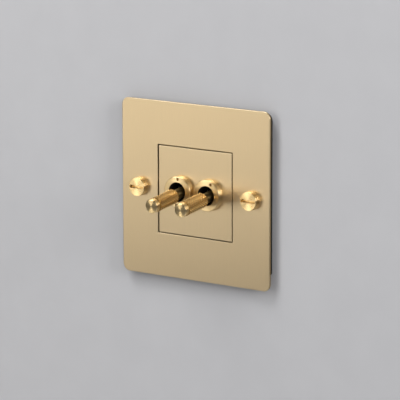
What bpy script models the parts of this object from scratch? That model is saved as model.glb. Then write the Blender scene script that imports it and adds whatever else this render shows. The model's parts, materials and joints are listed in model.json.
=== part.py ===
"""Two gang toggle wall switch with a square brass plate.

The origin is the centre of the wall plane, where the black frame's back face lies. +X is to the
right, +Z is up, and the front faces -Y, so everything with y > 0 stands inside the wall box.
Each gang is a two way tumbler mechanism: a lever turns a dolly on a pin, a sprung plunger in the
dolly's tail tips a rocker, and the rocker's contacts meet the upper or the lower terminal.
"""
import math

import bmesh
import bpy
from mathutils import Matrix, Vector

MM = 0.001
GAP = 0.3 * MM                      # space between pieces that touch on the real switch

# Front plates
PLATE_SIDE = 80.0 * MM
PLATE_CORNER = 3.5 * MM
PLATE_THICK = 1.0 * MM
PLATE_FRONT = -3.5 * MM
PLATE_BACK = PLATE_FRONT + PLATE_THICK
WINDOW_SIDE = 40.44 * MM
INSERT_SIDE = 39.56 * MM
INSERT_SHIFT = 0.14 * MM            # the insert stands a little to the right in its window

# Black frame and steel bridge, side by side behind the plates
FRAME_FRONT = PLATE_BACK + GAP
FRAME_SIDE = 78.0 * MM
FRAME_CORNER = 3.3 * MM
FRAME_LOWER_CUT = 6.6 * MM
BRIDGE_WIDTH = 71.0 * MM
BRIDGE_HEIGHT = 60.0 * MM
BRIDGE_CORNER = 4.0 * MM
BRIDGE_THICK = 1.2 * MM
BRIDGE_FRONT = -1.4 * MM
BRIDGE_BACK = BRIDGE_FRONT + BRIDGE_THICK

# Fixing screws, at the standard spacing of wall boxes
FIXING_SPACING = 60.3 * MM
COIN_HEAD_RADIUS = 4.25 * MM
COIN_HEAD_PROUD = 2.8 * MM
COIN_EDGE = 0.25 * MM
COIN_GROOVE_AT = 1.1 * MM
COIN_GROOVE_WIDTH = 0.3 * MM
COIN_GROOVE_DEPTH = 0.25 * MM
COIN_SLOT_WIDTH = 1.45 * MM
COIN_SLOT_DEPTH = 1.9 * MM
COIN_SLOT_RIM = 0.25 * MM           # left standing at both ends of the slot
COIN_SHANK_RADIUS = 1.75 * MM
COIN_TIP = 22.0 * MM
COIN_HOLE_RADIUS = 2.1 * MM

# Bushes and the plate that they screw into
GANG_SPACING = 15.64 * MM
BUSH_RADIUS = 7.15 * MM
BUSH_PROUD = 2.8 * MM
BUSH_EDGE = 0.5 * MM
BUSH_BORE_RADIUS = 4.42 * MM
BUSH_SHANK_RADIUS = 5.6 * MM
BUSH_HOLE_RADIUS = 5.9 * MM
BUSH_END = 1.1 * MM
SPANNER_HOLE_RADIUS = 0.7 * MM
SPANNER_HOLE_DEPTH = 1.6 * MM
SPANNER_CIRCLE_RADIUS = 5.87 * MM
SPANNER_ANGLE = {"left": 4.0, "right": 26.0}
CLAMP_WIDTH = 30.0 * MM
CLAMP_HEIGHT = 14.4 * MM
CLAMP_THICK = 1.3 * MM
CLAMP_FRONT = BRIDGE_BACK + GAP

# Lever and dolly, measured from the pivot along the lever
PIVOT_Y = 2.8 * MM
LEVER_TILT = math.radians(6.6)
LEVER_REACH = 28.8 * MM
LEVER_FACE_RADIUS = 2.85 * MM
LEVER_COLLAR_RADIUS = 3.2 * MM
LEVER_COLLAR_LENGTH = 2.4 * MM
LEVER_GROOVE_RADIUS = 2.9 * MM
LEVER_GROOVE_END = 2.8 * MM
LEVER_GRIP_RADIUS = 3.45 * MM
LEVER_GRIP_END = 16.8 * MM
LEVER_NECK_RADIUS = 2.4 * MM
LEVER_NECK_START = 18.6 * MM
LEVER_STUB_RADIUS = 1.5 * MM
LEVER_EDGE = 0.35 * MM
DOLLY_NECK_RADIUS = 2.6 * MM
DOLLY_NECK_REACH = 4.0 * MM
DOLLY_SOCKET_END = 1.8 * MM
DOLLY_HUB_RADIUS = 2.4 * MM
DOLLY_HUB_HALF_WIDTH = 3.6 * MM
DOLLY_TAIL_START = 3.0 * MM
DOLLY_TAIL_END = 11.0 * MM
DOLLY_TAIL_HALF_WIDTH = 5.6 * MM
DOLLY_TAIL_HALF_HEIGHT = 3.0 * MM
PIN_RADIUS = 0.9 * MM
PIN_HALF_LENGTH = 7.0 * MM

# Over-centre spring and plunger in the dolly's tail, measured from the pivot
SPRING_BORE_RADIUS = 1.7 * MM
SPRING_BORE_START = 3.4 * MM
SPRING_RADIUS = 1.2 * MM
SPRING_WIRE_RADIUS = 0.2 * MM
SPRING_TURNS = 4.5
SPRING_POINTS_PER_TURN = 10
PLUNGER_RADIUS = 1.35 * MM
PLUNGER_START = 8.0 * MM
PLUNGER_TIP = 13.4 * MM

# Rocker and contacts, measured from the rocker's axis
ROCKER_Y = 16.9 * MM
ROCKER_RATIO = 1.3
ROCKER_TILT = -ROCKER_RATIO * LEVER_TILT
ROCKER_HALF_WIDTH = 2.6 * MM
ROCKER_HALF_HEIGHT = 11.4 * MM
ROCKER_HALF_THICK = 0.5 * MM
ROCKER_RIB_RADIUS = 1.6 * MM
CONTACT_ARM = 10.0 * MM
CONTACT_RADIUS = 1.6 * MM
CONTACT_HEAD = 0.7 * MM
CONTACT_SHANK_RADIUS = 0.8 * MM
FIXED_CONTACT_HEAD = 0.8 * MM
STRIP_THICK = 0.8 * MM
STRIP_HALF_WIDTH = 2.4 * MM
STRIP_HALF_LENGTH = 1.9 * MM

# Mechanism case
CASE_HALF_WIDTH = 7.4 * MM
CASE_HALF_HEIGHT = 16.5 * MM
CASE_WALL = 1.3 * MM
CASE_CAVITY_HALF_HEIGHT = 12.6 * MM
CASE_MOUTH_HALF_HEIGHT = 6.5 * MM
CASE_MOUTH_DEPTH = 1.7 * MM
CASE_FRONT = BRIDGE_BACK + GAP
CASE_RECESS_HALF_HEIGHT = CLAMP_HEIGHT / 2 + GAP
CASE_RECESS_BACK = CLAMP_FRONT + CLAMP_THICK + GAP
CASE_BACK = 20.3 * MM
BASE_FRONT = CASE_BACK + GAP
BASE_BACK = 32.0 * MM
BASE_WALL = 1.7 * MM
CASE_SCREW_Z = 14.55 * MM
CASE_SCREW_RADIUS = 1.0 * MM
CASE_SCREW_HEAD_RADIUS = 1.9 * MM
CASE_SCREW_TIP = 23.2 * MM

# Terminals
PILLAR_HALF_WIDTH = 2.9 * MM
PILLAR_HALF_HEIGHT = 2.6 * MM
PILLAR_FRONT = 21.75 * MM
PILLAR_BACK = BASE_BACK - BASE_WALL - GAP
CRADLE_FRONT = 18.0 * MM
CRADLE_HALF_HEIGHT = 2.2 * MM
WIRE_HOLE_Y = 26.0 * MM
WIRE_HOLE_RADIUS = 1.6 * MM
WIRE_ENTRY_RADIUS = 1.9 * MM
TERMINAL_SCREW_RADIUS = 1.0 * MM
TERMINAL_SCREW_HEAD_RADIUS = 1.9 * MM
TERMINAL_SCREW_HEAD = 1.3 * MM
TERMINAL_SCREW_TIP = 27.9 * MM
DRIVER_HOLE_RADIUS = 2.3 * MM
DRIVER_SLOT_WIDTH = 0.5 * MM
DRIVER_SLOT_DEPTH = 0.6 * MM

# Earth connection, a brass angle riveted to the bridge below the cases
EARTH_HALF_WIDTH = 4.0 * MM
EARTH_THICK = 0.8 * MM
EARTH_LEG_TOP = -19.0 * MM
EARTH_FOOT_BOTTOM = -27.5 * MM
EARTH_LEG_BACK = 12.0 * MM
EARTH_RIVET_Z = -24.0 * MM
EARTH_RIVET_RADIUS = 1.2 * MM
EARTH_RIVET_HEAD_RADIUS = 2.0 * MM
EARTH_RIVET_HEAD = 0.7 * MM
EARTH_SCREW_Y = 7.0 * MM
EARTH_SCREW_RADIUS = 1.4 * MM
EARTH_SCREW_HEAD_RADIUS = 2.8 * MM
EARTH_SCREW_HEAD = 1.6 * MM
EARTH_SCREW_TOP = -17.2 * MM
EARTH_WASHER_HALF = 3.4 * MM
EARTH_WASHER_THICK = 0.8 * MM

# Sides of round pieces
FINE = 32
MEDIUM = 20
SMALL = 12

Y_AXIS = Vector((0, 1, 0))


def clear_scene():
    for old in list(bpy.data.objects):
        bpy.data.objects.remove(old, do_unlink=True)


def make_material(name, colour, roughness, metallic):
    material = bpy.data.materials.new(name)
    material.use_nodes = True
    shader = material.node_tree.nodes["Principled BSDF"]
    shader.inputs["Base Color"].default_value = (*colour, 1.0)
    shader.inputs["Roughness"].default_value = roughness
    shader.inputs["Metallic"].default_value = metallic
    return material


def make_materials():
    return {
        "plate_brass": make_material("plate_brass", (0.58, 0.46, 0.29), 0.42, 1.0),
        "turned_brass": make_material("turned_brass", (0.72, 0.50, 0.22), 0.25, 1.0),
        "terminal_brass": make_material("terminal_brass", (0.74, 0.55, 0.25), 0.35, 1.0),
        "steel": make_material("steel", (0.62, 0.62, 0.60), 0.38, 1.0),
        "silver_contact": make_material("silver_contact", (0.82, 0.81, 0.78), 0.30, 1.0),
        "black_frame": make_material("black_frame", (0.02, 0.02, 0.02), 0.55, 0.0),
        "black_phenolic": make_material("black_phenolic", (0.03, 0.03, 0.03), 0.45, 0.0),
        "white_nylon": make_material("white_nylon", (0.75, 0.74, 0.70), 0.50, 0.0),
    }


def make_empty(name, location, tilt=0.0, parent=None):
    empty = bpy.data.objects.new(name, None)
    bpy.context.scene.collection.objects.link(empty)
    empty.location = location
    empty.rotation_euler = (tilt, 0.0, 0.0)
    empty.parent = parent
    return empty


def mesh_object(name, bm, parent):
    bmesh.ops.recalc_face_normals(bm, faces=bm.faces)
    mesh = bpy.data.meshes.new(name)
    bm.to_mesh(mesh)
    bm.free()
    made = bpy.data.objects.new(name, mesh)
    bpy.context.scene.collection.objects.link(made)
    made.parent = parent
    return made


def make_piece(name, bm, material, parent=None):
    piece = mesh_object(name, bm, parent)
    piece.data.materials.append(material)
    piece.data.shade_smooth()
    piece.data.set_sharp_from_angle(angle=math.radians(35))
    return piece


def combine(piece, bm, operation):
    """Cut another shape out of a piece, or join it on. The shape stays as a hidden guide."""
    guide = mesh_object(f"{piece.name}_guide_{len(piece.modifiers)}", bm, piece.parent)
    guide.hide_render = True
    guide.display_type = "WIRE"
    modifier = piece.modifiers.new(operation.lower(), "BOOLEAN")
    modifier.operation = operation
    modifier.solver = "EXACT"
    modifier.object = guide


def cut(piece, bm):
    combine(piece, bm, "DIFFERENCE")


def join(piece, bm):
    combine(piece, bm, "UNION")


def add_box(bm, low, high):
    size = Vector(high) - Vector(low)
    centre = (Vector(high) + Vector(low)) / 2
    matrix = Matrix.Translation(centre) @ Matrix.Diagonal((*size, 1.0))
    bmesh.ops.create_cube(bm, size=1.0, matrix=matrix)


def add_cylinder(bm, start, end, radius, segments, end_radius=None):
    """A cylinder, or a cone, from one point to another."""
    start = Vector(start)
    end = Vector(end)
    turn = (end - start).to_track_quat("Z", "Y").to_matrix().to_4x4()
    bmesh.ops.create_cone(
        bm,
        cap_ends=True,
        segments=segments,
        radius1=radius,
        radius2=radius if end_radius is None else end_radius,
        depth=(end - start).length,
        matrix=Matrix.Translation((start + end) / 2) @ turn,
    )


def add_prism(bm, outline, front, back):
    """An outline of (x, z) points, extruded along Y."""
    corners = [bm.verts.new((x, front, z)) for x, z in outline]
    face = bm.faces.new(corners)
    grown = bmesh.ops.extrude_face_region(bm, geom=[face])["geom"]
    moved = [item for item in grown if isinstance(item, bmesh.types.BMVert)]
    bmesh.ops.translate(bm, verts=moved, vec=(0.0, back - front, 0.0))


def add_turned(bm, profile, segments, matrix=None, closed=False):
    """A profile of (radius, y) points, spun about Y, or about Y moved by a matrix."""
    matrix = matrix or Matrix.Identity(4)
    points = [bm.verts.new(matrix @ Vector((radius, y, 0.0))) for radius, y in profile]
    edges = [bm.edges.new(pair) for pair in zip(points, points[1:])]
    if closed:
        edges.append(bm.edges.new((points[-1], points[0])))
    bmesh.ops.spin(
        bm,
        geom=points + edges,
        cent=matrix.translation,
        axis=matrix.to_3x3() @ Y_AXIS,
        angle=2 * math.pi,
        steps=segments,
        use_merge=True,
    )
    bmesh.ops.remove_doubles(bm, verts=bm.verts, dist=0.001 * MM)


def arc(centre, radius, start, end, steps):
    """Points on an arc, from one angle in degrees to another."""
    angles = [math.radians(start + (end - start) * step / steps) for step in range(steps + 1)]
    return [(centre[0] + radius * math.cos(a), centre[1] + radius * math.sin(a)) for a in angles]


def rounded_rectangle(width, height, radius, steps=4):
    x = width / 2 - radius
    z = height / 2 - radius
    outline = arc((x, z), radius, 0, 90, steps)
    outline += arc((-x, z), radius, 90, 180, steps)
    outline += arc((-x, -z), radius, 180, 270, steps)
    outline += arc((x, -z), radius, 270, 360, steps)
    return outline


def square(side):
    half = side / 2
    return [(half, half), (-half, half), (-half, -half), (half, -half)]


def gang_positions():
    return (-GANG_SPACING / 2, GANG_SPACING / 2)


def fixing_positions():
    return (-FIXING_SPACING / 2, FIXING_SPACING / 2)


# Front plates, frame and bridge

def make_face_plate(materials):
    bm = bmesh.new()
    add_prism(bm, rounded_rectangle(PLATE_SIDE, PLATE_SIDE, PLATE_CORNER, 6), PLATE_FRONT, PLATE_BACK)
    plate = make_piece("face_plate", bm, materials["plate_brass"])
    bm = bmesh.new()
    add_prism(bm, square(WINDOW_SIDE), PLATE_FRONT - MM, PLATE_BACK + MM)
    for x in fixing_positions():
        add_cylinder(bm, (x, PLATE_FRONT - MM, 0), (x, PLATE_BACK + MM, 0), COIN_HOLE_RADIUS, MEDIUM)
    cut(plate, bm)


def make_insert_plate(materials):
    bm = bmesh.new()
    outline = [(x + INSERT_SHIFT, z) for x, z in square(INSERT_SIDE)]
    add_prism(bm, outline, PLATE_FRONT, PLATE_BACK)
    plate = make_piece("insert_plate", bm, materials["plate_brass"])
    bm = bmesh.new()
    for x in gang_positions():
        add_cylinder(bm, (x, PLATE_FRONT - MM, 0), (x, PLATE_BACK + MM, 0), BUSH_HOLE_RADIUS, FINE)
    cut(plate, bm)


def make_back_frame(materials):
    half = FRAME_SIDE / 2
    inner = half - FRAME_CORNER
    outline = arc((inner, inner), FRAME_CORNER, 0, 90, 4)
    outline += arc((-inner, inner), FRAME_CORNER, 90, 180, 4)
    outline += [(-half, FRAME_LOWER_CUT - half), (FRAME_LOWER_CUT - half, -half)]
    outline += [(half - FRAME_LOWER_CUT, -half), (half, FRAME_LOWER_CUT - half)]
    bm = bmesh.new()
    add_prism(bm, outline, FRAME_FRONT, 0.0)
    frame = make_piece("back_frame", bm, materials["black_frame"])
    bm = bmesh.new()
    opening = rounded_rectangle(BRIDGE_WIDTH + 2 * GAP, BRIDGE_HEIGHT + 2 * GAP, BRIDGE_CORNER)
    add_prism(bm, opening, FRAME_FRONT - MM, MM)
    cut(frame, bm)


def make_mounting_bridge(materials):
    bm = bmesh.new()
    outline = rounded_rectangle(BRIDGE_WIDTH, BRIDGE_HEIGHT, BRIDGE_CORNER)
    add_prism(bm, outline, BRIDGE_FRONT, BRIDGE_BACK)
    bridge = make_piece("mounting_bridge", bm, materials["steel"])
    front = BRIDGE_FRONT - MM
    back = BRIDGE_BACK + MM
    bm = bmesh.new()
    for x in fixing_positions():
        add_cylinder(bm, (x, front, 0), (x, back, 0), COIN_HOLE_RADIUS, MEDIUM)
    for x in gang_positions():
        add_cylinder(bm, (x, front, 0), (x, back, 0), BUSH_HOLE_RADIUS, FINE)
        for z in (CASE_SCREW_Z, -CASE_SCREW_Z):
            add_turned(bm, countersink_profile(), SMALL, Matrix.Translation((x, 0, z)))
    rivet_hole = EARTH_RIVET_RADIUS + GAP
    add_cylinder(bm, (0, front, EARTH_RIVET_Z), (0, back, EARTH_RIVET_Z), rivet_hole, SMALL)
    cut(bridge, bm)


def countersink_profile():
    """The space that a case screw's head and shank take in the bridge."""
    mouth = CASE_SCREW_HEAD_RADIUS + GAP
    hole = CASE_SCREW_RADIUS + GAP
    seat = BRIDGE_FRONT + mouth - hole
    return [(0, BRIDGE_FRONT - MM), (mouth, BRIDGE_FRONT - MM), (mouth, BRIDGE_FRONT), (hole, seat),
            (hole, BRIDGE_BACK + MM), (0, BRIDGE_BACK + MM)]


def make_clamp_plate(materials):
    bm = bmesh.new()
    back = CLAMP_FRONT + CLAMP_THICK
    add_prism(bm, rounded_rectangle(CLAMP_WIDTH, CLAMP_HEIGHT, MM), CLAMP_FRONT, back)
    clamp = make_piece("clamp_plate", bm, materials["terminal_brass"])
    bm = bmesh.new()
    for x in gang_positions():
        add_cylinder(bm, (x, CLAMP_FRONT - MM, 0), (x, back + MM, 0), BUSH_HOLE_RADIUS, FINE)
    cut(clamp, bm)


def make_coin_screw(side, x, materials):
    """A fixing screw with a slot that a coin fits, and a fine groove round its head."""
    front = PLATE_FRONT - COIN_HEAD_PROUD
    seat = PLATE_FRONT - GAP
    groove = front + COIN_GROOVE_AT
    floor = COIN_HEAD_RADIUS - COIN_GROOVE_DEPTH
    profile = [
        (0, front),
        (COIN_HEAD_RADIUS - COIN_EDGE, front),
        (COIN_HEAD_RADIUS, front + COIN_EDGE),
        (COIN_HEAD_RADIUS, groove),
        (floor, groove),
        (floor, groove + COIN_GROOVE_WIDTH),
        (COIN_HEAD_RADIUS, groove + COIN_GROOVE_WIDTH),
        (COIN_HEAD_RADIUS, seat),
        (COIN_SHANK_RADIUS, seat),
        (COIN_SHANK_RADIUS, COIN_TIP - MM),
        (COIN_SHANK_RADIUS - MM, COIN_TIP),
        (0, COIN_TIP),
    ]
    holder = make_empty(f"coin_screw_{side}_axis", (x, 0, 0))
    bm = bmesh.new()
    add_turned(bm, profile, FINE)
    screw = make_piece(f"coin_screw_{side}", bm, materials["turned_brass"], holder)
    half = COIN_SLOT_WIDTH / 2
    reach = COIN_HEAD_RADIUS - COIN_SLOT_RIM - COIN_GROOVE_DEPTH
    bm = bmesh.new()
    add_box(bm, (-reach, front - MM, -half), (reach, front + COIN_SLOT_DEPTH, half))
    cut(screw, bm)


# One gang: everything below is centred on x = 0 and hangs under the gang's empty

def make_bush(side, gang, materials):
    front = PLATE_FRONT - BUSH_PROUD
    profile = [
        (BUSH_BORE_RADIUS, front),
        (BUSH_RADIUS - BUSH_EDGE, front),
        (BUSH_RADIUS, front + BUSH_EDGE),
        (BUSH_RADIUS, PLATE_FRONT - GAP),
        (BUSH_SHANK_RADIUS, PLATE_FRONT - GAP),
        (BUSH_SHANK_RADIUS, BUSH_END),
        (BUSH_BORE_RADIUS, BUSH_END),
    ]
    bm = bmesh.new()
    add_turned(bm, profile, FINE, closed=True)
    bush = make_piece(f"bush_{side}", bm, materials["turned_brass"], gang)
    bm = bmesh.new()
    for turn in (0.0, 180.0):
        angle = math.radians(SPANNER_ANGLE[side] + turn)
        x = SPANNER_CIRCLE_RADIUS * math.sin(angle)
        z = SPANNER_CIRCLE_RADIUS * math.cos(angle)
        floor = front + SPANNER_HOLE_DEPTH
        add_cylinder(bm, (x, front - MM, z), (x, floor, z), SPANNER_HOLE_RADIUS, SMALL)
    cut(bush, bm)


def make_lever(side, pivot, materials):
    """The knurled handle, with a stub that screws into the dolly."""
    tip = -LEVER_REACH
    end = -DOLLY_NECK_REACH - GAP
    profile = [
        (0, tip),
        (LEVER_FACE_RADIUS, tip),
        (LEVER_COLLAR_RADIUS, tip + LEVER_EDGE),
        (LEVER_COLLAR_RADIUS, tip + LEVER_COLLAR_LENGTH),
        (LEVER_GROOVE_RADIUS, tip + LEVER_COLLAR_LENGTH),
        (LEVER_GROOVE_RADIUS, tip + LEVER_GROOVE_END),
        (LEVER_GRIP_RADIUS, tip + LEVER_GROOVE_END),
        (LEVER_GRIP_RADIUS, tip + LEVER_GRIP_END - LEVER_EDGE),
        (LEVER_GRIP_RADIUS - LEVER_EDGE, tip + LEVER_GRIP_END),
        (LEVER_NECK_RADIUS, tip + LEVER_NECK_START),
        (LEVER_NECK_RADIUS, end),
        (LEVER_STUB_RADIUS, end),
        (LEVER_STUB_RADIUS, -DOLLY_SOCKET_END - GAP),
        (0, -DOLLY_SOCKET_END - GAP),
    ]
    bm = bmesh.new()
    add_turned(bm, profile, FINE)
    make_piece(f"lever_{side}", bm, materials["turned_brass"], pivot)


def make_dolly(side, pivot, materials):
    """The moulded inner lever: a neck for the handle, a hub on the pin, and a wide tail."""
    bm = bmesh.new()
    hub = DOLLY_HUB_HALF_WIDTH
    add_cylinder(bm, (-hub, 0, 0), (hub, 0, 0), DOLLY_HUB_RADIUS, MEDIUM)
    dolly = make_piece(f"dolly_{side}", bm, materials["black_phenolic"], pivot)
    bm = bmesh.new()
    add_cylinder(bm, (0, -DOLLY_NECK_REACH, 0), (0, 0, 0), DOLLY_NECK_RADIUS, MEDIUM)
    join(dolly, bm)
    bm = bmesh.new()
    web = DOLLY_HUB_RADIUS - GAP
    add_box(bm, (-hub + GAP, 0, -web), (hub - GAP, DOLLY_TAIL_START + MM, web))
    join(dolly, bm)
    bm = bmesh.new()
    width = DOLLY_TAIL_HALF_WIDTH
    height = DOLLY_TAIL_HALF_HEIGHT
    add_box(bm, (-width, DOLLY_TAIL_START, -height), (width, DOLLY_TAIL_END, height))
    join(dolly, bm)
    bm = bmesh.new()
    socket = LEVER_STUB_RADIUS + GAP
    add_cylinder(bm, (0, -DOLLY_NECK_REACH - MM, 0), (0, -DOLLY_SOCKET_END, 0), socket, SMALL)
    add_cylinder(bm, (-PIN_HALF_LENGTH, 0, 0), (PIN_HALF_LENGTH, 0, 0), PIN_RADIUS + GAP, MEDIUM)
    bore_end = DOLLY_TAIL_END + MM
    add_cylinder(bm, (0, SPRING_BORE_START, 0), (0, bore_end, 0), SPRING_BORE_RADIUS, MEDIUM)
    cut(dolly, bm)


def make_pivot_pin(side, gang, materials):
    bm = bmesh.new()
    add_cylinder(bm, (-PIN_HALF_LENGTH, 0, 0), (PIN_HALF_LENGTH, 0, 0), PIN_RADIUS, MEDIUM)
    pin = make_piece(f"pivot_pin_{side}", bm, materials["steel"], gang)
    pin.location = (0, PIVOT_Y, 0)


def make_plunger(side, pivot, materials):
    ball = PLUNGER_TIP - PLUNGER_RADIUS
    dome = [(radius, y) for y, radius in arc((ball, 0), PLUNGER_RADIUS, 90, 0, 4)]
    profile = [(0, PLUNGER_START), (PLUNGER_RADIUS, PLUNGER_START), *dome[:-1], (0, PLUNGER_TIP)]
    bm = bmesh.new()
    add_turned(bm, profile, SMALL)
    make_piece(f"plunger_{side}", bm, materials["white_nylon"], pivot)


def make_plunger_spring(side, pivot, materials):
    start = SPRING_BORE_START + GAP + SPRING_WIRE_RADIUS
    end = PLUNGER_START - GAP - SPRING_WIRE_RADIUS
    count = int(SPRING_TURNS * SPRING_POINTS_PER_TURN)
    curve = bpy.data.curves.new(f"plunger_spring_{side}", "CURVE")
    curve.dimensions = "3D"
    curve.bevel_depth = SPRING_WIRE_RADIUS
    curve.bevel_resolution = 1
    curve.use_fill_caps = True
    spline = curve.splines.new("POLY")
    spline.points.add(count)
    for index, point in enumerate(spline.points):
        angle = 2 * math.pi * index / SPRING_POINTS_PER_TURN
        x = SPRING_RADIUS * math.cos(angle)
        z = SPRING_RADIUS * math.sin(angle)
        point.co = (x, start + (end - start) * index / count, z, 1.0)
    curve.materials.append(materials["steel"])
    spring = bpy.data.objects.new(f"plunger_spring_{side}", curve)
    bpy.context.scene.collection.objects.link(spring)
    spring.parent = pivot


def make_rocker(side, pivot, materials):
    """The flat moving arm, with a round rib across its middle that rolls in the cradle."""
    width = ROCKER_HALF_WIDTH
    thick = ROCKER_HALF_THICK
    height = ROCKER_HALF_HEIGHT
    bm = bmesh.new()
    add_box(bm, (-width, -thick, -height), (width, thick, height))
    rocker = make_piece(f"rocker_{side}", bm, materials["terminal_brass"], pivot)
    rib = ROCKER_RIB_RADIUS
    bm = bmesh.new()
    add_cylinder(bm, (-width + GAP, 0, 0), (width - GAP, 0, 0), rib, MEDIUM)
    join(rocker, bm)
    bm = bmesh.new()
    add_box(bm, (-2 * width, -2 * rib, -2 * rib), (2 * width, -thick, 2 * rib))
    cut(rocker, bm)
    bm = bmesh.new()
    hole = CONTACT_SHANK_RADIUS + GAP
    for z in (CONTACT_ARM, -CONTACT_ARM):
        add_cylinder(bm, (0, -MM, z), (0, MM, z), hole, SMALL)
    cut(rocker, bm)


def make_rocker_contact(name, pivot, z, materials):
    """A rivet through the rocker, whose thicker rear head is the contact."""
    front = -ROCKER_HALF_THICK - GAP
    back = ROCKER_HALF_THICK + GAP
    profile = [
        (0, front - GAP),
        (CONTACT_RADIUS, front - GAP),
        (CONTACT_RADIUS, front),
        (CONTACT_SHANK_RADIUS, front),
        (CONTACT_SHANK_RADIUS, back),
        (CONTACT_RADIUS, back),
        (CONTACT_RADIUS, back + CONTACT_HEAD),
        (0, back + CONTACT_HEAD),
    ]
    bm = bmesh.new()
    add_turned(bm, profile, SMALL, Matrix.Translation((0, 0, z)))
    make_piece(name, bm, materials["silver_contact"], pivot)


def fixed_contact_front():
    """How far behind the rocker's axis a closed contact's fixed face lies."""
    return ROCKER_HALF_THICK + GAP + CONTACT_HEAD + GAP


def fixed_frame(z_sign):
    """The rocker's frame when its upper (+1) or lower (-1) contact is closed."""
    turn = Matrix.Rotation(z_sign * ROCKER_TILT, 4, "X")
    return Matrix.Translation((0, ROCKER_Y, 0)) @ turn


def make_fixed_contact(name, gang, z_sign, materials):
    front = fixed_contact_front()
    seat = front + FIXED_CONTACT_HEAD
    end = seat + GAP + STRIP_THICK + GAP
    profile = [
        (0, front),
        (CONTACT_RADIUS, front),
        (CONTACT_RADIUS, seat),
        (CONTACT_SHANK_RADIUS, seat),
        (CONTACT_SHANK_RADIUS, end),
        (0, end),
    ]
    place = fixed_frame(z_sign) @ Matrix.Translation((0, 0, z_sign * CONTACT_ARM))
    bm = bmesh.new()
    add_turned(bm, profile, SMALL, place)
    make_piece(name, bm, materials["silver_contact"], gang)


def add_wire_and_screw_holes(terminal, z, wire_start, wire_end):
    bm = bmesh.new()
    add_cylinder(bm, wire_start, wire_end, WIRE_HOLE_RADIUS, SMALL)
    cut(terminal, bm)
    bm = bmesh.new()
    hole = TERMINAL_SCREW_RADIUS + GAP
    add_cylinder(bm, (0, WIRE_HOLE_Y, z), (0, PILLAR_BACK + MM, z), hole, SMALL)
    cut(terminal, bm)


def pillar_z(z_sign):
    """The height of a terminal's pillar: 0 for the common one in the middle."""
    return z_sign * CONTACT_ARM


def make_switched_terminal(name, gang, z_sign, materials):
    """A pillar for the wire, with a slanted strip in front that carries the fixed contact."""
    z = pillar_z(z_sign)
    half = PILLAR_HALF_HEIGHT
    width = PILLAR_HALF_WIDTH
    bm = bmesh.new()
    add_box(bm, (-width, PILLAR_FRONT, z - half), (width, PILLAR_BACK, z + half))
    terminal = make_piece(name, bm, materials["terminal_brass"], gang)
    strip_front = fixed_contact_front() + FIXED_CONTACT_HEAD + GAP
    length = STRIP_HALF_LENGTH
    bm = bmesh.new()
    add_box(bm, (-STRIP_HALF_WIDTH, strip_front, z - length),
            (STRIP_HALF_WIDTH, strip_front + STRIP_THICK, z + length))
    bmesh.ops.transform(bm, matrix=fixed_frame(z_sign), verts=bm.verts)
    join(terminal, bm)
    bm = bmesh.new()
    hole = CONTACT_SHANK_RADIUS + GAP
    hole_end = strip_front + STRIP_THICK + 2 * GAP
    add_cylinder(bm, (0, strip_front - MM, z), (0, hole_end, z), hole, SMALL)
    bmesh.ops.transform(bm, matrix=fixed_frame(z_sign), verts=bm.verts)
    cut(terminal, bm)
    start = (0, WIRE_HOLE_Y, z - half - MM)
    end = (0, WIRE_HOLE_Y, z + half + MM)
    add_wire_and_screw_holes(terminal, z, start, end)


def make_common_terminal(side, gang, materials):
    """The middle terminal, whose front is the cradle that the rocker rolls in."""
    half = PILLAR_HALF_HEIGHT
    width = PILLAR_HALF_WIDTH
    bm = bmesh.new()
    add_box(bm, (-width, PILLAR_FRONT, -half), (width, PILLAR_BACK, half))
    terminal = make_piece(f"terminal_common_{side}", bm, materials["terminal_brass"], gang)
    cradle = CRADLE_HALF_HEIGHT
    bm = bmesh.new()
    add_box(bm, (-ROCKER_HALF_WIDTH, CRADLE_FRONT, -cradle),
            (ROCKER_HALF_WIDTH, PILLAR_FRONT + MM, cradle))
    join(terminal, bm)
    bm = bmesh.new()
    groove = ROCKER_RIB_RADIUS + GAP
    add_cylinder(bm, (-2 * width, ROCKER_Y, 0), (2 * width, ROCKER_Y, 0), groove, MEDIUM)
    cut(terminal, bm)
    start = (-width - MM, WIRE_HOLE_Y, 0)
    end = (width + MM, WIRE_HOLE_Y, 0)
    add_wire_and_screw_holes(terminal, 0.0, start, end)


def make_terminal_screw(name, gang, z, materials):
    seat = PILLAR_BACK + GAP
    back = seat + TERMINAL_SCREW_HEAD
    profile = [
        (0, TERMINAL_SCREW_TIP),
        (TERMINAL_SCREW_RADIUS, TERMINAL_SCREW_TIP),
        (TERMINAL_SCREW_RADIUS, seat),
        (TERMINAL_SCREW_HEAD_RADIUS, seat),
        (TERMINAL_SCREW_HEAD_RADIUS, back),
        (0, back),
    ]
    bm = bmesh.new()
    add_turned(bm, profile, SMALL, Matrix.Translation((0, 0, z)))
    screw = make_piece(name, bm, materials["terminal_brass"], gang)
    half = DRIVER_SLOT_WIDTH / 2
    reach = 2 * TERMINAL_SCREW_HEAD_RADIUS
    bm = bmesh.new()
    add_box(bm, (-reach, back - DRIVER_SLOT_DEPTH, z - half), (reach, back + MM, z + half))
    cut(screw, bm)


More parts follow.
